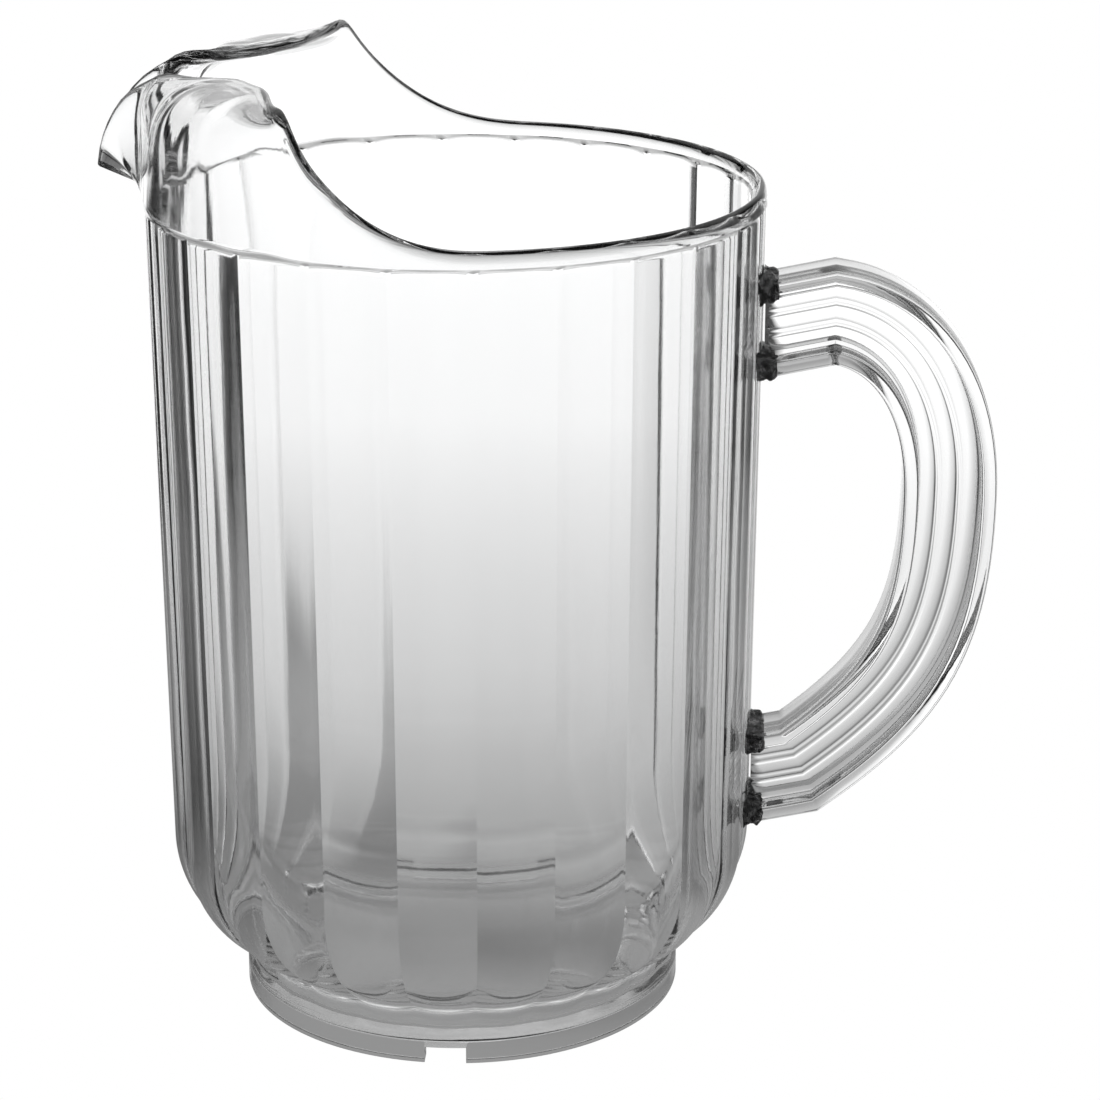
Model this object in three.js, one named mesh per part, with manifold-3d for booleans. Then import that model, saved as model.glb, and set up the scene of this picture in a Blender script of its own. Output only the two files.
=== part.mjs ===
// A clear plastic pitcher for iced drinks. The vessel is one moulding: a reeded wall on a plain foot ring, a
// smooth rim band, and at the front a beak between two guards that turn inwards to hold the ice back. The
// D-shaped handle is a second moulding of I section, welded to the wall at the four ends of its flanges.
// Millimetres, +Z up, the spout towards -X and the handle towards +X, standing on Z = 0.

import * as THREE from 'three';
import { mergeVertices } from 'three/addons/utils/BufferGeometryUtils.js';
import Module from 'manifold-3d';

const { degToRad, radToDeg, lerp, smoothstep } = THREE.MathUtils;

// Vessel wall and rim
const rimHeight = 183.3;
const rimRadius = 66.3;
const baseRadius = 64.4;
const cornerRadius = 28.5;
const wall = 3;
const bandHeight = 3.4;
const bandProud = 0.3;
const reedCount = 24;
const reedDepth = 1.1;
const reedTopRunout = 1.4;
const reedFootRunout = 0.6;

// Foot ring round a dished underside, with a drain notch on each side
const footRadius = 48.7;
const footHeight = 9.9;
const footWidth = 4.5;
const footRecess = 4;
const notchWidth = 9;
const notchHeight = 3.8;

// Ice guards: the rim sweeps up to them between two angles counted from the spout
const guardRise = 25.3;
const guardInset = 20.5;
const guardBend = 5;
const guardFlare = 2.3;
const sweepStartAngle = 97.8;
const sweepEndAngle = 62.3;
const sweepPower = 2.2;
const sweepSharpness = 8;
const guardBackAngle = 70;
const guardFullBackAngle = 36;
const guardFullFrontAngle = 28;
const guardFrontAngle = 6;
const bendShare = 0.8;
const wallBendLimit = 0.9;
const edgeBendLimit = 0.95;

// Beak: a V-shaped lip that starts at the rim band and runs out to a point
const beakReach = 10.2;
const beakRise = 3.6;
const beakHalfAngle = 9.5;
const beakNotchAngle = 14;
const beakLip = 1.6;
const beakRoot = 2.5;
const beakReachPower = 1.25;
const beakDipPower = 1.9;

// Handle, placed from the rim and from the outside of the rim band
const handleDepth = 19.9;
const handleWidth = 15;
const flange = 3.2;
const web = 5.2;
const fluteCount = 3;
const fluteDepth = 0.5;
const fingerGap = 30.2;
const upperElbowDrop = 27.4;
const upperElbowReach = 14.8;
const upperRootSlope = 11.9;
const upperElbowSlope = -8.1;
const handleSpan = 103.4;
const lowerElbowReach = 9.1;
const lowerRootSlope = 12;
const lowerElbowSlope = 37.8;
const upperFullness = 0.6;
const lowerFullness = 0.8;
const gripDrop = 38.5;

// Welds between the wall and the flange ends
const weldLength = 2.2;
const weldProud = 1;
const weldRounding = 0.4;
const clearance = 0.3;

// Mesh fineness
const columnsPerReed = 4;
const cornerSteps = 6;
const straightSteps = 3;
const guardSteps = [3, 4, 2];
const lipSteps = 4;
const elbowSteps = 11;
const weldSteps = 12;

const bandBottom = rimHeight - bandHeight;
const cornerTop = footHeight + cornerRadius;
const cornerAxis = baseRadius - cornerRadius;
const footMeet = cornerTop - Math.sqrt(cornerRadius ** 2 - (footRadius - cornerAxis) ** 2);
const reedPitch = 360 / reedCount;

// Outside radius over the reeds' crests
function crestRadius(z) {
  if (z >= cornerTop) {
    return lerp(baseRadius, rimRadius - bandProud, (z - cornerTop) / (bandBottom - cornerTop));
  }
  if (z <= footMeet) {
    return footRadius;
  }
  return cornerAxis + Math.sqrt(cornerRadius ** 2 - (cornerTop - z) ** 2);
}

// Depth below the crests at an angle from the spout: round reeds that meet in sharp grooves
function grooveDepth(angle) {
  const place = angle / reedPitch;
  return reedDepth * (2 * (place - Math.round(place))) ** 2;
}

// Middle of the wall above the band, at an angle from the spout: up, round a bend and in over the ice, or
// out to the beak
function upperWall(angle) {
  const thickness = lerp(beakLip, wall, smoothstep(angle, 0, beakNotchAngle));
  const wallMiddle = rimRadius - thickness / 2;
  const sweep = Math.max(0, (sweepStartAngle - angle) / (sweepStartAngle - sweepEndAngle)) ** sweepPower;
  const lift = guardRise * sweep / (1 + sweep ** sweepSharpness) ** (1 / sweepSharpness);
  const dip = (guardRise - beakRise) * Math.max(0, 1 - angle / beakNotchAngle) ** beakDipPower;
  const guard = smoothstep(guardBackAngle - angle, 0, guardBackAngle - guardFullBackAngle)
    * smoothstep(angle, guardFrontAngle, guardFullFrontAngle);
  const reach = beakReach * Math.max(0, 1 - (angle / beakHalfAngle) ** beakReachPower);
  const flare = guardFlare * (1 - smoothstep(angle, guardFrontAngle, guardFullBackAngle));

  const start = new THREE.Vector2(wallMiddle, bandBottom);
  const edge = new THREE.Vector2(
    wallMiddle + reach - (guardInset - thickness) * guard,
    rimHeight + lift - dip - thickness / 2
  );
  const bend = start.clone().lerp(edge, bendShare);
  bend.lerp(new THREE.Vector2(wallMiddle + flare, edge.y), Math.sqrt(guard));
  bend.lerp(new THREE.Vector2(wallMiddle + beakRoot / 2, bandBottom + beakRoot),
    1 - smoothstep(angle, 0, beakHalfAngle));
  const bendLength = Math.min(
    guardBend, edgeBendLimit * bend.distanceTo(edge), wallBendLimit * bend.distanceTo(start)
  );
  const bendStart = bend.clone().lerp(start, bendLength / bend.distanceTo(start));
  const bendEnd = bend.clone().lerp(edge, bendLength / bend.distanceTo(edge));
  const middle = new THREE.Path().moveTo(start.x, start.y).lineTo(bendStart.x, bendStart.y)
    .quadraticCurveTo(bend.x, bend.y, bendEnd.x, bendEnd.y).lineTo(edge.x, edge.y);
  return { middle, thickness };
}

// Closed section of the vessel at an angle from the spout, from under the floor round to its top
function vesselSection(angle) {
  const cut = grooveDepth(angle);
  const points = [
    new THREE.Vector2(footRadius - footWidth, footRecess),
    new THREE.Vector2(footRadius - footWidth, 0),
    new THREE.Vector2(footRadius, 0),
    new THREE.Vector2(footRadius, footHeight),
    new THREE.Vector2(footRadius - cut, footHeight + reedFootRunout)
  ];
  const footTurn = Math.acos((footRadius - cornerAxis) / cornerRadius);
  for (let i = 0; i <= cornerSteps; i++) {
    const turn = footTurn * (1 - i / cornerSteps);
    const radius = cornerAxis + cornerRadius * Math.cos(turn);
    points.push(new THREE.Vector2(radius - cut, cornerTop - cornerRadius * Math.sin(turn)));
  }
  for (let i = 1; i <= straightSteps; i++) {
    const z = lerp(cornerTop, bandBottom - reedTopRunout, i / straightSteps);
    points.push(new THREE.Vector2(crestRadius(z) - cut, z));
  }

  const fromSpout = Math.min(angle, 360 - angle);
  const { middle, thickness } = upperWall(fromSpout);
  const outside = [new THREE.Vector2(rimRadius, bandBottom)];
  const inside = [new THREE.Vector2(rimRadius - wall, bandBottom)];
  let edge = outside[0];
  middle.curves.forEach((stretch, part) => {
    const steps = guardSteps[part];
    for (let i = 1; i <= steps; i++) {
      edge = stretch.getPoint(i / steps);
      const tangent = stretch.getTangent(i / steps);
      const out = new THREE.Vector2(tangent.y, -tangent.x).multiplyScalar(thickness / 2);
      outside.push(edge.clone().add(out));
      inside.push(edge.clone().sub(out));
    }
  });
  const edgeTurn = outside.at(-1).clone().sub(edge);
  for (let i = 1; i < lipSteps; i++) {
    outside.push(edge.clone().add(edgeTurn.clone().rotateAround(new THREE.Vector2(), Math.PI * i / lipSteps)));
  }
  points.push(...outside, ...inside.reverse());

  for (let i = 0; i <= cornerSteps; i++) {
    const turn = Math.PI / 2 * i / cornerSteps;
    const radius = cornerAxis + (cornerRadius - wall) * Math.cos(turn);
    points.push(new THREE.Vector2(radius, cornerTop - (cornerRadius - wall) * Math.sin(turn)));
  }
  return points;
}

// Closed mesh from the vessel's sections, with one point on the axis under the floor and one on top of it
function vesselGeometry() {
  const columns = reedCount * columnsPerReed;
  const positions = [0, 0, footHeight, 0, 0, footHeight + wall];
  const index = [];
  let rows = 0;
  for (let column = 0; column < columns; column++) {
    const angle = 360 * column / columns;
    const section = vesselSection(angle);
    rows = section.length;
    for (const point of section) {
      const turn = degToRad(angle);
      positions.push(-point.x * Math.cos(turn), -point.x * Math.sin(turn), point.y);
    }
  }
  for (let column = 0; column < columns; column++) {
    const here = 2 + column * rows;
    const next = 2 + (column + 1) % columns * rows;
    index.push(0, next, here);
    for (let row = 0; row < rows - 1; row++) {
      index.push(here + row, next + row, next + row + 1, here + row, next + row + 1, here + row + 1);
    }
    index.push(here + rows - 1, next + rows - 1, 1);
  }
  return meshGeometry(positions, index);
}

function meshGeometry(positions, index) {
  const geometry = new THREE.BufferGeometry();
  geometry.setAttribute('position', new THREE.Float32BufferAttribute(positions, 3));
  geometry.setIndex(index);
  return geometry;
}

// Cutting one solid out of another
const wasm = await Module();
wasm.setup();

function solidFrom(geometry) {
  const bare = geometry.clone();
  bare.deleteAttribute('normal');
  bare.deleteAttribute('uv');
  const merged = mergeVertices(bare);
  return new wasm.Manifold(new wasm.Mesh({
    numProp: 3,
    vertProperties: new Float32Array(merged.attributes.position.array),
    triVerts: new Uint32Array(merged.index.array)
  }));
}

function geometryFrom(solid) {
  const mesh = solid.getMesh();
  return meshGeometry(Array.from(mesh.vertProperties), Array.from(mesh.triVerts));
}

function notchedVessel() {
  let solid = solidFrom(vesselGeometry());
  for (const side of [-1, 1]) {
    const notch = new THREE.BoxGeometry(notchWidth, 2 * footWidth, 2 * notchHeight);
    notch.translate(0, side * (footRadius - footWidth / 2), 0);
    solid = solid.subtract(solidFrom(notch));
  }
  return geometryFrom(solid);
}

// Closed mesh through a row of rings that all follow one outline
function loft(rings, outline) {
  const positions = [];
  const index = [];
  const count = outline.length;
  for (const ring of rings) {
    for (const point of ring) {
      positions.push(point.x, point.y, point.z);
    }
  }
  for (let k = 0; k < rings.length - 1; k++) {
    for (let i = 0; i < count; i++) {
      const a = k * count + i;
      const b = k * count + (i + 1) % count;
      index.push(a, b, b + count, a, b + count, a + count);
    }
  }
  const last = (rings.length - 1) * count;
  for (const [a, b, c] of THREE.ShapeUtils.triangulateShape(outline, [])) {
    index.push(c, b, a, last + a, last + b, last + c);
  }
  return meshGeometry(positions, index);
}

// Handle centreline in the plane of the spout: x from the vessel's axis, y up
const upperElbow = new THREE.Vector2(rimRadius + upperElbowReach, rimHeight - upperElbowDrop);
const lowerElbow = new THREE.Vector2(rimRadius + lowerElbowReach, upperElbow.y - handleSpan);
const grip = new THREE.Vector2(rimRadius + fingerGap + handleDepth / 2, upperElbow.y - gripDrop);

function rootAt(elbow, slope) {
  const x = crestRadius(elbow.y) + weldLength;
  return new THREE.Vector2(x, elbow.y - (elbow.x - x) * Math.tan(degToRad(slope)));
}

// From an elbow to the middle of the grip; the fuller the bend, the squarer its shoulder
function elbowCurve(elbow, slope, fullness) {
  const shoulder = new THREE.Vector2(grip.x, elbow.y + (grip.x - elbow.x) * Math.tan(degToRad(slope)));
  return new THREE.CubicBezierCurve(
    elbow, elbow.clone().lerp(shoulder, fullness), grip.clone().lerp(shoulder, fullness), grip
  );
}

const upperRoot = rootAt(upperElbow, upperRootSlope);
const lowerRoot = rootAt(lowerElbow, lowerRootSlope);

// I section: flanges at both ends of a fluted web, first coordinate towards the outside of the D
function handleOutline() {
  const edge = handleDepth / 2;
  const side = handleWidth / 2;
  const seat = edge - flange;
  const half = [new THREE.Vector2(edge, side), new THREE.Vector2(seat, side)];
  for (let i = 0; i <= 2 * fluteCount; i++) {
    half.push(new THREE.Vector2(seat * (1 - i / fluteCount), web / 2 - fluteDepth * (i % 2)));
  }
  half.push(new THREE.Vector2(-seat, side), new THREE.Vector2(-edge, side));
  const otherHalf = half.map((point) => new THREE.Vector2(-point.x, -point.y));
  return [...half, ...otherHalf];
}

function handleGeometry() {
  const upperCurve = elbowCurve(upperElbow, upperElbowSlope, upperFullness);
  const lowerCurve = elbowCurve(lowerElbow, lowerElbowSlope, lowerFullness);
  const line = [
    upperRoot,
    ...upperCurve.getSpacedPoints(elbowSteps),
    ...lowerCurve.getSpacedPoints(elbowSteps).reverse().slice(1),
    lowerRoot
  ];
  const outline = handleOutline();
  const rings = line.map((centre, i) => {
    const arrive = centre.clone().sub(line[Math.max(i - 1, 0)]).normalize();
    const leave = line[Math.min(i + 1, line.length - 1)].clone().sub(centre).normalize();
    const along = arrive.clone().add(leave).normalize();
    const mitre = 1 / Math.max(along.dot(arrive), along.dot(leave));
    const out = new THREE.Vector2(-along.y, along.x).multiplyScalar(mitre);
    const isEnd = i === 0 || i === line.length - 1;
    return outline.map((point) => {
      const place = centre.clone().addScaledVector(out, point.x);
      if (isEnd) {
        place.addScaledVector(along, (centre.x - place.x) / along.x);
      }
      return new THREE.Vector3(place.x, -point.y, place.y);
    });
  });
  return loft(rings, outline);
}

// Outside of the reeded wall beside the handle, as x at a given y and z
function wallFace(y, z) {
  const crest = crestRadius(z);
  const radius = crest - grooveDepth(radToDeg(Math.asin(y / crest)));
  return Math.sqrt(radius ** 2 - y ** 2);
}

// A weld that fills the space between the wall and one flange end; side is 1 at the outside of the D
function weldGeometry(root, slope, side) {
  const tilt = Math.cos(degToRad(slope));
  const middle = root.y + side * (handleDepth - flange) / 2 / tilt;
  const halfHeight = flange / 2 / tilt + weldProud;
  const halfWidth = handleWidth / 2 + weldProud;
  const low = middle - halfHeight;
  const high = middle + halfHeight;
  const outer = root.x - clearance;
  const rings = [];
  for (let i = 0; i <= weldSteps; i++) {
    const y = lerp(-halfWidth, halfWidth, i / weldSteps);
    const rounding = weldProud * (i === 0 || i === weldSteps ? 1 : weldRounding);
    const chamfer = weldProud / 2;
    const ring = [
      new THREE.Vector3(outer - chamfer, y, low + rounding),
      new THREE.Vector3(outer, y, low + rounding + chamfer),
      new THREE.Vector3(outer, y, high - rounding - chamfer),
      new THREE.Vector3(outer - chamfer, y, high - rounding),
      new THREE.Vector3(wallFace(y, high) + clearance, y, high - rounding),
      new THREE.Vector3(wallFace(y, low) + clearance, y, low + rounding)
    ];
    rings.push(ring.reverse());
  }
  return loft(rings, rings[0].map((point) => new THREE.Vector2(point.z, point.x)));
}

function clearPlastic() {
  return new THREE.MeshStandardMaterial({ color: 0xe4e7e8, roughness: 0.06, metalness: 0 });
}

function weldPlastic() {
  return new THREE.MeshStandardMaterial({ color: 0x8f9293, roughness: 0.45, metalness: 0 });
}

const pitcher = new THREE.Group();

function addPiece(name, geometry, material) {
  const piece = new THREE.Mesh(geometry, material);
  piece.name = name;
  pitcher.add(piece);
}

addPiece('body', notchedVessel(), clearPlastic());
addPiece('handle', handleGeometry(), clearPlastic());
addPiece('upper_outer_weld', weldGeometry(upperRoot, upperRootSlope, 1), weldPlastic());
addPiece('upper_inner_weld', weldGeometry(upperRoot, upperRootSlope, -1), weldPlastic());
addPiece('lower_inner_weld', weldGeometry(lowerRoot, lowerRootSlope, 1), weldPlastic());
addPiece('lower_outer_weld', weldGeometry(lowerRoot, lowerRootSlope, -1), weldPlastic());

// The origin lies under the middle of the whole outline, between the beak's tip and the grip
const extent = new THREE.Box3().setFromObject(pitcher);
pitcher.position.x = -(extent.min.x + extent.max.x) / 2;

export default pitcher;
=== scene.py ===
import math

import bmesh
import bpy
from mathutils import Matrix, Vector, noise


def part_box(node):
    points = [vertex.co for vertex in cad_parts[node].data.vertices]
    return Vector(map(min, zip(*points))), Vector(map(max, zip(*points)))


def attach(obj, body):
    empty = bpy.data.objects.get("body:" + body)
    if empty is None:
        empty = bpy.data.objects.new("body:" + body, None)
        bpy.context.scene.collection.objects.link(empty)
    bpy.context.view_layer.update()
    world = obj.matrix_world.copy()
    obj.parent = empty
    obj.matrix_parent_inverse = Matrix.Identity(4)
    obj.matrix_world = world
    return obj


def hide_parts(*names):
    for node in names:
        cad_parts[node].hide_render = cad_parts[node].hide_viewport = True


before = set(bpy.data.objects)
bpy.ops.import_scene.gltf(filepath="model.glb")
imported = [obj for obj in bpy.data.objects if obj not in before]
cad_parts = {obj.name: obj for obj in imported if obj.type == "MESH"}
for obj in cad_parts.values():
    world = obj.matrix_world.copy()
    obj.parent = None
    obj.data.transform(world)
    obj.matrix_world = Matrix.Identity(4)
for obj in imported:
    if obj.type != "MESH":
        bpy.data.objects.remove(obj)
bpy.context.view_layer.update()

# Body: one clear injection moulding of reeded wall, floor, foot ring, rim band, ice guards and beak.
# Its section is turned into a plain vessel first. Then the reeds are pressed into the outside, and the
# rim is drawn up and bent in over the ice, or out to the beak.
MM = 0.001
rim_radius = 66.3 * MM
rim_height = 183.3 * MM
base_radius = 64.4 * MM
corner_radius = 28.5 * MM
wall = 3.0 * MM
band_height = 3.4 * MM
band_proud = 0.3 * MM
reed_count = 24
reed_depth = 1.1 * MM
reed_arch = 16.0 * MM
reed_top_gap = 0.01 * MM
reed_top_slope = 1.0
reed_foot = 6.2 * MM
reed_foot_runout = 12.0 * MM
foot_fillet = 3.0 * MM
foot_radius = 48.7 * MM
foot_height = 9.9 * MM
foot_width = 4.5 * MM
foot_recess = 4.0 * MM
floor_top = 7.0 * MM
floor_fillet = 1.5 * MM
skirt_inside = 45.2 * MM
skirt_round = 2.0 * MM
guard_rise = 25.3 * MM
guard_inset = 20.5 * MM
guard_bend = 13.0 * MM
guard_flare = 2.3 * MM
beak_reach = 10.2 * MM
beak_rise = 3.6 * MM
beak_lip = 1.6 * MM
beak_root = 2.5 * MM
sweep_start, sweep_end, sweep_power, sweep_sharpness = 101.0, 62.0, 2.6, 16
guard_back, guard_full_back, guard_full_front, guard_front = 70.0, 36.0, 28.0, 6.0
beak_half_angle, beak_notch_angle = 9.5, 14.0
beak_reach_power, beak_dip_power = 1.25, 1.9
plain_bend, most_of_rise, most_of_lean = 0.8, 0.9, 0.95
rise_share, turn_share = 0.4, 0.75
edge_radius = 0.5 * MM
edge_round = 3.0 * MM
rim_rows, edge_rows, arch_rows, outside_rows, inside_rows = 40, 8, 12, 10, 14
corner_rows, round_rows, foot_rows, floor_rows = 18, 5, 4, 6
columns_per_reed = 12
hair = 0.001 * MM
crease_margin, crease_width = 0.1 * MM, 0.01
plastic_ior = 1.57

body_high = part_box("body")[1]
axis_x = body_high[0] - rim_radius
band_bottom = rim_height - band_height
corner_top = foot_height + corner_radius
corner_axis = base_radius - corner_radius
inner_corner = corner_radius - wall
inner_radius = rim_radius - wall
wall_middle = rim_radius - wall / 2
foot_inside = foot_radius - foot_width
edge_height = rim_height - edge_round
reed_top = band_bottom - reed_top_gap
reed_arch_start = reed_top - reed_arch


def smoothstep(value, low, high):
    t = min(1.0, max(0.0, (value - low) / (high - low)))
    return t * t * (3 - 2 * t)


def crest_radius(z):
    """Outside radius over the reeds' crests at a height on the straight wall."""
    share = (z - corner_top) / (band_bottom - corner_top)
    return base_radius + (rim_radius - band_proud - base_radius) * share


def reed_place(angle):
    """An angle in degrees from the spout, counted in reeds."""
    return angle * reed_count / 360


def groove_depth(angle):
    """Depth below the crests, at an angle in degrees from the spout."""
    place = reed_place(angle)
    return reed_depth * (2 * (place - round(place))) ** 2


def on_outside(radius, z):
    if z > corner_top:
        return radius > crest_radius(z) - wall / 2
    if radius < (skirt_inside + foot_radius) / 2:
        return False
    return math.hypot(radius - corner_axis, z - corner_top) > corner_radius - wall / 2


def line(start, end, steps):
    return [start.lerp(end, i / steps) for i in range(steps + 1)]


def arc_point(start, corner, end, t):
    """A point on the curve that rounds a corner off."""
    return start.lerp(corner, t).lerp(corner.lerp(end, t), t)


def corner_point(radius, turn):
    """A point on the rounded corner between the wall and the foot, below the wall by an angle."""
    return Vector((corner_axis + radius * math.cos(turn), corner_top - radius * math.sin(turn)))


def edge_cap(thickness):
    """Length of the rounded edge: short on the thin beak, long and blunt on the rim and the guards."""
    share = (thickness - beak_lip) / (wall - beak_lip)
    return beak_lip / 2 + (edge_round - beak_lip / 2) * share


def rim_bend(angle):
    """Start, bend and edge of the wall's middle above the band, at an angle from the spout."""
    thickness = beak_lip + (wall - beak_lip) * smoothstep(angle, 0, beak_notch_angle)
    middle = rim_radius - thickness / 2
    sweep = max(0.0, (sweep_start - angle) / (sweep_start - sweep_end)) ** sweep_power
    lift = guard_rise * sweep / (1 + sweep ** sweep_sharpness) ** (1 / sweep_sharpness)
    dip = (guard_rise - beak_rise) * max(0.0, 1 - angle / beak_notch_angle) ** beak_dip_power
    guard = smoothstep(guard_back - angle, 0, guard_back - guard_full_back)
    guard *= smoothstep(angle, guard_front, guard_full_front)
    reach = beak_reach * max(0.0, 1 - (angle / beak_half_angle) ** beak_reach_power)
    flare = guard_flare * (1 - smoothstep(angle, guard_front, guard_full_back))
    cap = edge_cap(thickness)
    inset = guard_inset - thickness / 2 - cap
    drop = cap + (thickness / 2 - cap) * guard
    start = Vector((middle, band_bottom))
    edge = Vector((middle + reach - inset * guard, rim_height + lift - dip - drop))
    bend = start.lerp(edge, plain_bend)
    bend = bend.lerp(Vector((middle + flare, edge.y)), math.sqrt(guard))
    beak_bend = Vector((middle + beak_root / 2, band_bottom + beak_root))
    bend = bend.lerp(beak_bend, 1 - smoothstep(angle, 0, beak_half_angle))
    return start, bend, edge, thickness


def rim_path(angle, share):
    """Point, direction and thickness of the wall above the band, at a share of the way to its edge."""
    start, bend, edge, thickness = rim_bend(angle)
    rise, lean = (bend - start).length, (bend - edge).length
    length = min(guard_bend, most_of_lean * lean, most_of_rise * rise)
    bend_start = bend.lerp(start, length / rise)
    bend_end = bend.lerp(edge, length / lean)
    if share <= rise_share:
        point = start.lerp(bend_start, share / rise_share)
        along = bend_start - start
    elif share <= turn_share:
        t = (share - rise_share) / (turn_share - rise_share)
        point = arc_point(bend_start, bend, bend_end, t)
        along = bend.lerp(bend_end, t) - bend_start.lerp(bend, t)
    else:
        point = bend_end.lerp(edge, (share - turn_share) / (1 - turn_share))
        along = edge - bend_end
    return point, along.normalized(), thickness


def shaped(point):
    """Where a point of the plain turned vessel lies on the finished one."""
    radius = math.hypot(point.x - axis_x, point.y)
    if radius < corner_axis:
        return point
    turn = math.atan2(-point.y, -(point.x - axis_x))
    angle = abs(math.degrees(turn))
    z = point.z
    if z > band_bottom + hair:
        share = min(1.0, (z - band_bottom) / (edge_height - band_bottom))
        middle, along, thickness = rim_path(angle, share)
        across = (radius - wall_middle) * thickness / wall
        beyond = max(0.0, z - edge_height) * edge_cap(thickness) / edge_round
        radius = middle.x + along.y * across + along.x * beyond
        z = middle.y - along.x * across + along.y * beyond
    elif reed_foot < z < band_bottom - hair and on_outside(radius, z):
        depth = groove_depth(angle)
        radius -= depth * smoothstep(z, reed_foot, reed_foot + reed_foot_runout)
        z += (band_bottom - reed_top - depth / reed_top_slope) * smoothstep(z, reed_arch_start, reed_top)
    return Vector((axis_x - radius * math.cos(turn), -radius * math.sin(turn), z))


def finish_mesh(bm, name, material):
    mesh = bpy.data.meshes.new(name)
    bm.to_mesh(mesh)
    bm.free()
    piece = bpy.data.objects.new(name, mesh)
    bpy.context.collection.objects.link(piece)
    mesh.materials.append(material)
    return piece


class Shade:
    """A shader socket that works in sums: an operator on it adds the Math node that it needs."""

    def __init__(self, tree, socket=None):
        self.tree = tree
        self.socket = socket

    def node(self, kind, settings=None, inputs=None, output=0):
        made = self.tree.nodes.new(kind)
        for name, value in (settings or {}).items():
            if name == "stops":
                ramp = made.color_ramp.elements
                while len(ramp) < len(value):
                    ramp.new(0.5)
                for element, (place, level) in zip(ramp, value):
                    element.position = place
                    element.color = (level, level, level, 1)
            else:
                setattr(made, name, value)
        for name, value in (inputs or {}).items():
            if isinstance(value, Shade):
                self.tree.links.new(value.socket, made.inputs[name])
            else:
                made.inputs[name].default_value = value
        return Shade(self.tree, made.outputs[output] if len(made.outputs) else None)

    def math(self, operation, first, second=0.0):
        return self.node("ShaderNodeMath", {"operation": operation}, {0: first, 1: second})

    def ramp(self, value, stops):
        return self.node("ShaderNodeValToRGB", {"stops": stops}, {"Fac": value})

    def mix(self, factor, first, second):
        inputs = {"Factor": factor, 6: first, 7: second}
        return self.node("ShaderNodeMix", {"data_type": "RGBA"}, inputs, output=2)

    def __add__(self, other):
        return self.math("ADD", self, other)

    def __mul__(self, other):
        return self.math("MULTIPLY", self, other)

    def __sub__(self, other):
        return self.math("SUBTRACT", self, other)

    def __rsub__(self, other):
        return self.math("SUBTRACT", other, self)

    __radd__ = __add__
    __rmul__ = __mul__


def shader_tree(name):
    material = bpy.data.materials.new(name)
    material.use_nodes = True
    material.node_tree.nodes.clear()
    return material, Shade(material.node_tree)


def clear_plastic(name):
    """Polished clear plastic: fine handling scratches, faint smears, and the slow ripple of moulding."""
    material, shade = shader_tree(name)
    place = shade.node("ShaderNodeTexCoord", output=3)
    smear = shade.node("ShaderNodeTexNoise", inputs={"Vector": place, "Scale": 38.0, "Detail": 4.0})
    speck = shade.node("ShaderNodeTexNoise", inputs={"Vector": place, "Scale": 900.0, "Detail": 2.0})
    streak_place = shade.node("ShaderNodeMapping", inputs={"Vector": place, "Scale": (700.0, 700.0, 24.0)})
    streak = shade.node("ShaderNodeTexNoise", inputs={"Vector": streak_place, "Scale": 1.0, "Detail": 3.0})
    roughness = 0.015 + 0.03 * smear + 0.012 * streak
    ripple = shade.node("ShaderNodeTexNoise", inputs={"Vector": place, "Scale": 26.0, "Detail": 1.0})
    relief = ripple + 0.02 * streak + 0.004 * speck
    bump = shade.node("ShaderNodeBump", inputs={"Height": relief, "Strength": 0.35, "Distance": 0.0006})
    plastic = shade.node("ShaderNodeBsdfPrincipled", inputs={
        "Base Color": (0.985, 0.987, 0.988, 1), "Roughness": roughness, "IOR": plastic_ior,
        "Transmission Weight": 1.0, "Normal": bump})
    shade.node("ShaderNodeOutputMaterial", inputs={"Surface": plastic})
    return material


plastic_finish = clear_plastic("clear_plastic")

# The section runs from the middle of the underside, out and up the outside, over the rim and down the inside.
section = bmesh.new()
path = [Vector((0, foot_recess)), Vector((foot_inside - foot_width, foot_recess))]
foot_edges = [Vector((foot_inside, foot_recess)), Vector((foot_inside, 0)), Vector((foot_radius, 0))]
first_edge = len(path)
path += foot_edges
foot_turn = math.acos((foot_radius - corner_axis) / corner_radius)
foot_corner = Vector((foot_radius, corner_top - corner_radius * math.sin(foot_turn)))
fillet_start = Vector((foot_radius, foot_corner.y - foot_fillet))
fillet_turn = foot_turn - foot_fillet / corner_radius
fillet_end = corner_point(corner_radius, fillet_turn)
path += line(Vector((foot_radius, reed_foot)), fillet_start, foot_rows)
for step in range(1, round_rows):
    path.append(arc_point(fillet_start, foot_corner, fillet_end, step / round_rows))
for step in range(corner_rows + 1):
    path.append(corner_point(corner_radius, fillet_turn * (1 - step / corner_rows)))
path += line(path[-1], Vector((crest_radius(reed_arch_start), reed_arch_start)), outside_rows)[1:]
path += line(path[-1], Vector((crest_radius(reed_top), reed_top)), arch_rows)[1:]
path += line(Vector((rim_radius, band_bottom)), Vector((rim_radius, edge_height)), rim_rows)
for step in range(1, edge_rows):
    turn = math.pi * step / edge_rows
    path.append(Vector((wall_middle + wall / 2 * math.cos(turn), edge_height + edge_round * math.sin(turn))))
path += line(Vector((inner_radius, edge_height)), Vector((inner_radius, band_bottom)), rim_rows)
path += line(Vector((inner_radius, band_bottom)), Vector((base_radius - wall, corner_top)), inside_rows)[1:]
skirt_turn = math.acos((skirt_inside - corner_axis) / inner_corner)
for step in range(1, corner_rows + 1):
    path.append(corner_point(inner_corner, (skirt_turn - skirt_round / inner_corner) * step / corner_rows))
round_start = path[-1]
round_corner = Vector((skirt_inside, corner_top - inner_corner * math.sin(skirt_turn)))
round_end = round_corner - Vector((0, skirt_round))
for step in range(1, round_rows + 1):
    path.append(arc_point(round_start, round_corner, round_end, step / round_rows))
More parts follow.
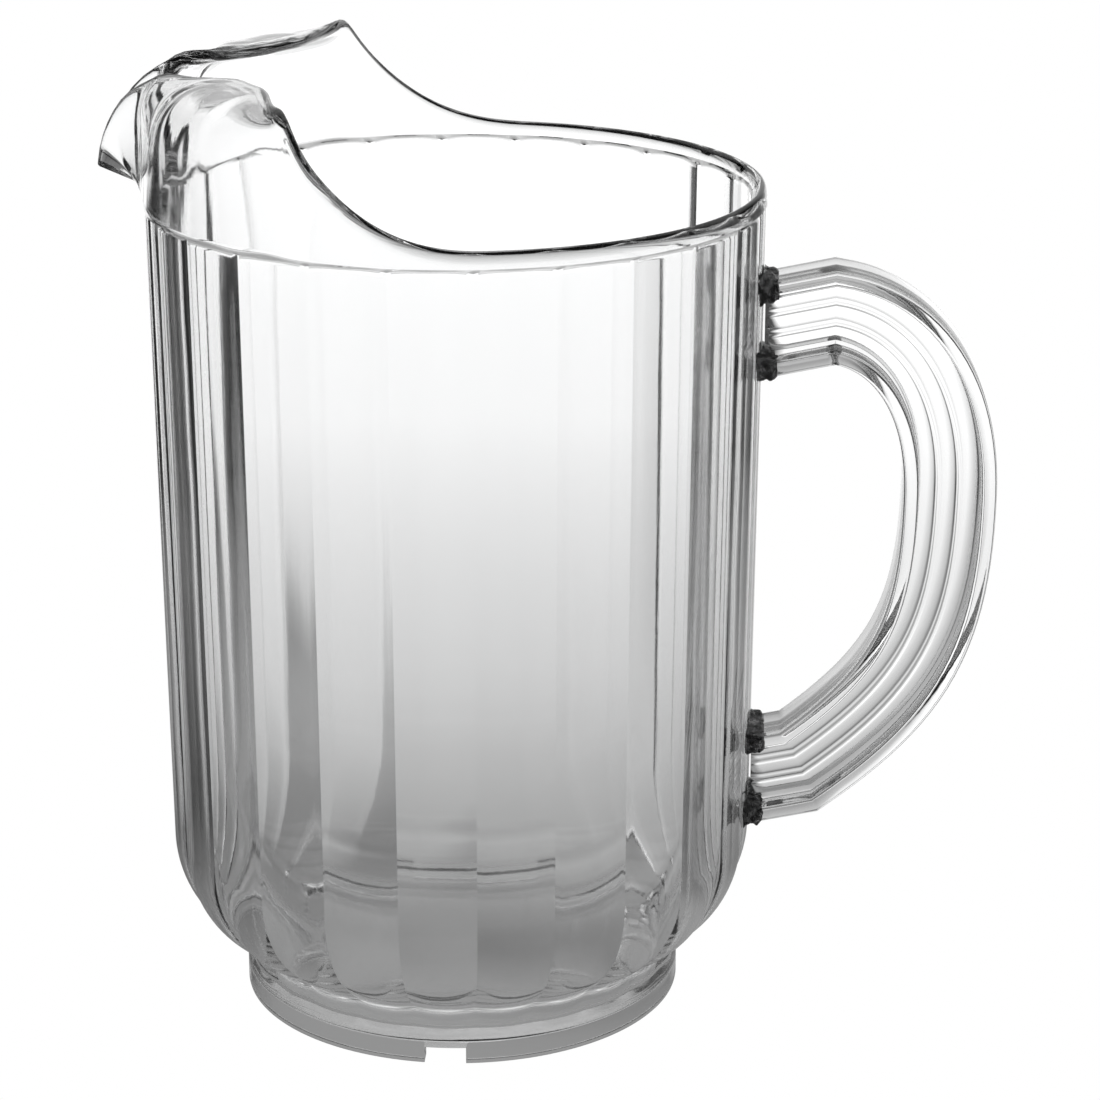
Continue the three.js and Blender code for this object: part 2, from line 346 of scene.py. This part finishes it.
for step in range(floor_rows + 1):
    turn = math.pi / 2 * step / floor_rows
    path.append(Vector((skirt_inside - floor_fillet * (1 - math.cos(turn)),
                        floor_top + floor_fillet * (1 - math.sin(turn)))))
path += [Vector((skirt_inside - foot_width, floor_top)), Vector((0, floor_top))]
wire = [section.verts.new((axis_x - point.x, 0, point.y)) for point in path]
for first, second in zip(wire, wire[1:]):
    section.edges.new((first, second))
bmesh.ops.bevel(section, geom=wire[first_edge:first_edge + len(foot_edges)], offset=edge_radius,
                offset_type="OFFSET", segments=3, profile=0.5, affect="VERTICES", material=-1)
bmesh.ops.spin(section, geom=section.verts[:] + section.edges[:], cent=(axis_x, 0, 0), axis=(0, 0, 1),
               angle=math.tau, steps=reed_count * columns_per_reed, use_merge=True)
bmesh.ops.remove_doubles(section, verts=section.verts, dist=hair / 2)
bmesh.ops.recalc_face_normals(section, faces=section.faces)
for vert in section.verts:
    vert.co = shaped(vert.co)
for edge in section.edges:
    low, high = sorted(edge.verts, key=lambda vert: vert.co.z)
    place = reed_place(math.degrees(math.atan2(-low.co.y, -(low.co.x - axis_x))))
    on_wall = foot_corner.y < low.co.z < band_bottom - crease_margin
    upright = high.co.z - low.co.z > crease_margin
    in_groove = abs(abs(place - round(place)) - 0.5) < crease_width
    edge.smooth = not (on_wall and upright and in_groove)
for face in section.faces:
    face.smooth = True
body = finish_mesh(section, "vessel", plastic_finish)
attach(body, "root")
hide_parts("body")

# Drain notches: two plain gaps through the foot ring, one on each side, so that rinsing water runs off.
# They are 9 mm wide and end just below the vessel's flat underside.
notch_width = 9.0 * MM
notch_height = 3.8 * MM
for side in (-1, 1):
    cutter = bmesh.new()
    bmesh.ops.create_cube(cutter, size=1)
    bmesh.ops.scale(cutter, vec=(notch_width, 2 * foot_width, 2 * notch_height), verts=cutter.verts)
    bmesh.ops.translate(cutter, vec=(axis_x, side * (foot_radius - foot_width / 2), 0), verts=cutter.verts)
    notch = finish_mesh(cutter, "notch_cutter", plastic_finish)
    cut = body.modifiers.new("notch", "BOOLEAN")
    cut.operation = "DIFFERENCE"
    cut.solver = "EXACT"
    cut.object = notch
    bpy.context.view_layer.objects.active = body
    bpy.ops.object.modifier_apply(modifier=cut.name)
    bpy.data.objects.remove(notch)

# Handle: a second clear moulding bent like a D. Its section is an I: two flanges joined by a web with three
# shallow flutes on each face. The ends are cut upright, beside the wall.
handle_depth = 19.9 * MM
handle_width = 15.0 * MM
handle_corner = 0.8 * MM
flange = 3.2 * MM
web = 5.2 * MM
flute_count = 3
flute_depth = 0.2 * MM
flute_shares = (0.07, 0.2, 0.35, 0.5, 0.65, 0.8, 0.93)
ridge_height = 0.25 * MM
finger_gap = 30.2 * MM
wall_gap = 0.3 * MM
upper_reach, upper_drop = 14.8 * MM, 27.4 * MM
lower_reach, lower_drop = 9.1 * MM, 103.4 * MM
grip_drop = 38.5 * MM
upper_root_slope, upper_elbow_slope = math.radians(11.9), math.radians(-8.1)
lower_root_slope, lower_elbow_slope = math.radians(12), math.radians(37.8)
upper_fullness, lower_fullness = 0.62, 0.78
arm_rows, bend_rows = 4, 24
key_digits = 9

upper_elbow = Vector((rim_radius + upper_reach, rim_height - upper_drop))
lower_elbow = Vector((rim_radius + lower_reach, upper_elbow.y - lower_drop))
grip = Vector((rim_radius + finger_gap + handle_depth / 2, upper_elbow.y - grip_drop))


def arm(elbow, root_slope, elbow_slope, fullness):
    """Points from the wall by an elbow to the middle of the grip; a fuller bend has a squarer shoulder."""
    root_x = crest_radius(elbow.y) + wall_gap
    root = Vector((root_x, elbow.y - (elbow.x - root_x) * math.tan(root_slope)))
    corner = Vector((grip.x, elbow.y + (grip.x - elbow.x) * math.tan(elbow_slope)))
    first, second = elbow.lerp(corner, fullness), grip.lerp(corner, fullness)
    points = line(root, elbow, arm_rows)[:-1]
    for step in range(bend_rows + 1):
        t = step / bend_rows
        points.append(arc_point(elbow, first, second, t).lerp(arc_point(first, second, grip, t), t))
    return points


upper_arm = arm(upper_elbow, upper_root_slope, upper_elbow_slope, upper_fullness)
lower_arm = arm(lower_elbow, lower_root_slope, lower_elbow_slope, lower_fullness)
spine = upper_arm + lower_arm[-2::-1]

bar = bmesh.new()
edge, side, seat = handle_depth / 2, handle_width / 2, handle_depth / 2 - flange
half = [Vector((edge, side)), Vector((seat, side)), Vector((seat, web / 2))]
for flute in range(flute_count):
    if flute:
        half.append(Vector((seat * (1 - 2 * flute / flute_count), web / 2 + ridge_height)))
    for share in flute_shares:
        sag = flute_depth * (1 - (2 * share - 1) ** 2)
        half.append(Vector((seat * (1 - 2 * (flute + share) / flute_count), web / 2 - sag)))
half += [Vector((-seat, web / 2)), Vector((-seat, side)), Vector((-edge, side))]
outline = half + [-point for point in half]
ring = [bar.verts.new((point.x, point.y, 0)) for point in outline]
for first, second in zip(ring, ring[1:] + ring[:1]):
    bar.edges.new((first, second))
count = len(half)
round_corners = [ring[i + k] for k in (0, count) for i in (0, 1, 2, count - 3, count - 2, count - 1)]
bmesh.ops.bevel(bar, geom=round_corners, offset=handle_corner, offset_type="OFFSET", segments=4, profile=0.5,
                affect="VERTICES", material=-1)
first_ring = bar.edges[:]
flat = {vert: vert.co.copy() for vert in bar.verts}


def bar_place(point, index):
    """Where a point of the flat section lies at one step of the handle's spine."""
    centre = spine[index]
    arrive = (centre - spine[max(index - 1, 0)]).normalized()
    leave = (spine[min(index + 1, len(spine) - 1)] - centre).normalized()
    along = (arrive + leave).normalized()
    mitre = 1 / max(along.dot(arrive), along.dot(leave))
    place = centre + Vector((-along.y, along.x)) * (mitre * point.x)
    if index in (0, len(spine) - 1):
        place += along * ((centre.x - place.x) / along.x)
    return Vector((axis_x + place.x, -point.y, place.y))


def place_key(vert):
    return tuple(round(value, key_digits) for value in vert.co)


last_ring = first_ring
for index in range(len(spine)):
    if index:
        made = bmesh.ops.extrude_edge_only(bar, edges=last_ring)["geom"]
        last_ring = [item for item in made if isinstance(item, bmesh.types.BMEdge)]
        fresh = [item for item in made if isinstance(item, bmesh.types.BMVert)]
        last = {place_key(vert): point for vert, point in flat.items()}
        flat = {vert: last[place_key(vert)] for vert in fresh}
    for vert, point in flat.items():
        vert.co = bar_place(point, index)
bmesh.ops.contextual_create(bar, geom=first_ring)
bmesh.ops.contextual_create(bar, geom=last_ring)
bmesh.ops.recalc_face_normals(bar, faces=bar.faces)
for face in bar.faces:
    face.smooth = len(face.verts) < 5
handle = finish_mesh(bar, "handle_bar", plastic_finish)
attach(handle, "root")
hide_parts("handle")

# Welds: four lumps of plastic that ran out and set where the handle's flanges were welded to the wall.
# Their skins are rough and full of pits, and they are painted dark where the rest is clear: painted shade,
# broken by lighter patches.
weld_nodes = ("upper_outer_weld", "upper_inner_weld", "lower_inner_weld", "lower_outer_weld")
weld_overlap = 1.2 * MM
weld_spread, weld_taper = 1.4, 0.45
weld_swell, weld_round = 0.16, 0.16
weld_lump, lump_length = 1.0 * MM, 1.9 * MM
weld_grit, grit_length = 0.5 * MM, 0.8 * MM
weld_face_share = 0.25
weld_cuts = 15
seed_step = Vector((3.7, 1.3, 8.1)) * MM


def weld_plastic():
    """Clear plastic that boiled and set: pitted and cloudy in places, with painted shade that makes it darker
    than the mouldings.
    """
    material, shade = shader_tree("weld_plastic")
    place = shade.node("ShaderNodeTexCoord", output=3)
    cloud_and_shade_noise = shade.node("ShaderNodeTexNoise", inputs={"Vector": place, "Scale": 700.0, "Detail": 5.0})
    pit = shade.node("ShaderNodeTexVoronoi", inputs={"Vector": place, "Scale": 1500.0})
    # Painted shade: the colour is near black, with noisy lighter patches where the painted shade breaks.
    shade_break_mask = shade.ramp(cloud_and_shade_noise, [(0.46, 0.0), (0.62, 1.0)])
    tone = shade.mix(shade_break_mask, (0.02, 0.02, 0.021, 1), (0.9, 0.9, 0.905, 1))
    relief = cloud_and_shade_noise + 0.6 * pit
    bump = shade.node("ShaderNodeBump", inputs={"Height": relief, "Strength": 0.9, "Distance": 0.001})
    plastic = shade.node("ShaderNodeBsdfPrincipled", inputs={
        "Base Color": tone, "Roughness": 0.06 + 0.3 * cloud_and_shade_noise, "IOR": plastic_ior,
        "Transmission Weight": 1.0, "Normal": bump})
    shade.node("ShaderNodeOutputMaterial", inputs={"Surface": plastic})
    return material


def lumpy(point, seed):
    """How far a weld's skin stands out at a point, from slow lumps and fine grit."""
    slow = noise.noise((point + seed) / lump_length)
    fine = noise.noise((point - seed) / grit_length)
    return weld_lump * slow + weld_grit * fine


weld_painted_shade_material = weld_plastic()
for number, node in enumerate(weld_nodes):
    low, high = (Vector(corner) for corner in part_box(node))
    middle, size = (low + high) / 2, high - low
    lump = bmesh.new()
    bmesh.ops.create_cube(lump, size=1)
    bmesh.ops.subdivide_edges(lump, edges=lump.edges, cuts=weld_cuts, use_grid_fill=True)
    for vert in lump.verts:
        along, swell = vert.co.x + 0.5, 1 - weld_swell * (2 * vert.co.x) ** 2
        corner = max(abs(vert.co.y), abs(vert.co.z), hair)
        round_off = 1 - weld_round * max(0.0, math.hypot(vert.co.y, vert.co.z) / corner - 1)
        y = middle.y + vert.co.y * size.y * swell * round_off
        z = middle.z + vert.co.z * size.z * weld_spread * (1 - weld_taper * along) * round_off
        angle = math.degrees(math.asin(y / crest_radius(z)))
        wall_x = math.sqrt((crest_radius(z) - groove_depth(180 - angle)) ** 2 - y * y)
        vert.co = (axis_x + wall_x + along * (high.x + weld_overlap - axis_x - wall_x), y, z)
    bmesh.ops.recalc_face_normals(lump, faces=lump.faces)
    lump.normal_update()
    seed = seed_step * (number + 1)
    for vert in lump.verts:
        out = Vector((weld_face_share * max(0.0, vert.normal.x), vert.normal.y, vert.normal.z))
        vert.co += out * lumpy(vert.co, seed)
    for face in lump.faces:
        face.smooth = True
    piece = finish_mesh(lump, node.replace("weld", "lump"), weld_painted_shade_material)
    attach(piece, "root")
    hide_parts(node)

# Studio: a glowing floor whose light is dim grey under the pitcher and runs out to white, and two dark flags
# beside it, as clear goods are lit to show their edges. The camera stands where the photograph was taken
# from.
flags = [(-60.0, 27.0, 18.0, 0.06), (48.5, 13.5, 3.0, 0.01)]
flag_depth = [(0.15, 0.0), (0.28, 0.6), (0.42, 1.0)]
floor_gain = 1.3
floor_tone = [(0.0, 0.1), (0.06, 0.33), (0.2, 0.58), (0.45, 0.88), (0.9, 1.0)]
beside_loss = 0.5
beside_turn = [(0.14, 0.0), (0.24, 1.0)]
beside_reach = [(0.03, 0.0), (0.08, 1.0), (0.25, 1.0), (0.5, 0.0)]
mirror_share = 0.12
mirror_turn = [(0.28, 0.0), (0.36, 1.0)]
mirror_reach = [(0.05, 0.0), (0.18, 1.0)]
wall_light = [(0.03, 1.0), (0.12, 0.6), (0.3, 0.45), (0.42, 0.0)]
top_light = [(0.3, 0.0), (0.48, 0.55), (1.0, 0.6)]
white = (1, 1, 1, 1)


def flag_level(shade, across, away):
    """How much light a bearing gives: white between the flags, and each flag's own dark level."""
    stops = [(0.0, 1.0)]
    for bearing, half_width, blur, level in flags:
        outer = half_width + blur
        for turn, tone in ((-outer, 1.0), (-half_width, level), (half_width, level), (outer, 1.0)):
            stops.append(((bearing + turn) / 360 + 0.5, tone))
    bearing = shade.math("ARCTAN2", 0 - across, away)
    return shade.ramp(bearing * (1 / math.tau) + 0.5, stops)


def half_turn(shade, across, away):
    """How far round from straight behind the pitcher a place is, as a share of half a turn."""
    return shade.math("ABSOLUTE", shade.math("ARCTAN2", across, away)) * (1 / math.pi)


def mirror_loss(shade, across, away, distance):
    """What is left in a reflection of the light in front and at the sides: reflected rays alone see it dimmed
    there.
    """
    bounces = shade.math("MINIMUM", shade.node("ShaderNodeLightPath", output="Glossy Depth"), 1.0)
    front = shade.ramp(half_turn(shade, across, away), mirror_turn)
    far = shade.ramp(distance, mirror_reach)
    return 1 - (1 - mirror_share) * bounces * front * far


def split(shade, vector):
    made = shade.node("ShaderNodeSeparateXYZ", inputs={"Vector": vector}).socket.node
    return [Shade(shade.tree, output) for output in made.outputs]


floor_mesh = bmesh.new()
bmesh.ops.create_circle(floor_mesh, cap_ends=True, segments=96, radius=6.0)
floor_glow_material, shade = shader_tree("floor_glow_material")
floor_place = shade.node("ShaderNodeTexCoord", output=3)
across, away, _ = split(shade, floor_place)
distance = shade.node("ShaderNodeVectorMath", {"operation": "LENGTH"}, {0: floor_place}, output=1)
flagged = (1 - flag_level(shade, across, away)) * shade.ramp(distance, flag_depth)
beside = shade.ramp(half_turn(shade, across, away), beside_turn) * shade.ramp(distance, beside_reach)
level = floor_gain * shade.ramp(distance, floor_tone) * (1 - flagged) * (1 - beside_loss * beside)
level = level * mirror_loss(shade, across, away, distance)
seen = shade.mix(shade.node("ShaderNodeLightPath"), level, white)
glow = shade.node("ShaderNodeEmission", inputs={"Color": seen, "Strength": 1.0})
shade.node("ShaderNodeOutputMaterial", inputs={"Surface": glow})
floor = finish_mesh(floor_mesh, "floor", floor_glow_material)

world = bpy.data.worlds.new("studio")
bpy.context.scene.world = world
world.use_nodes = True
world.node_tree.nodes.clear()
sky = Shade(world.node_tree)
across, away, rise = split(sky, sky.node("ShaderNodeTexCoord"))
room = sky.ramp(rise, wall_light) * flag_level(sky, across, away) + sky.ramp(rise, top_light)
room = room * mirror_loss(sky, across, away, 1.0)
backdrop = sky.mix(sky.node("ShaderNodeLightPath"), room, white)
light = sky.node("ShaderNodeBackground", inputs={"Color": backdrop, "Strength": 1.0})
sky.node("ShaderNodeOutputWorld", inputs={"Surface": light})

camera_distance, camera_height = 715.0 * MM, 338.9 * MM
camera_bearing = math.radians(4.7)
look_bearing = math.radians(93.1)
look_down = math.radians(18.44)
focal_pixels, photo_pixels, sensor = 3428.0, 1100.0, 36.0
camera_data = bpy.data.cameras.new("camera")
camera_data.sensor_width = sensor
camera_data.lens = sensor * focal_pixels / photo_pixels
camera = bpy.data.objects.new("camera", camera_data)
camera.location = (axis_x + camera_distance * math.sin(camera_bearing),
                   -camera_distance * math.cos(camera_bearing), camera_height)
look = Vector((math.cos(look_bearing) * math.cos(look_down), math.sin(look_bearing) * math.cos(look_down),
               -math.sin(look_down)))
camera.rotation_euler = look.to_track_quat("-Z", "Y").to_euler()
bpy.context.collection.objects.link(camera)
scene = bpy.context.scene
scene.camera = camera
scene.view_settings.view_transform = "Standard"
scene.cycles.max_bounces = 32
scene.cycles.transmission_bounces = 32
scene.cycles.glossy_bounces = 16
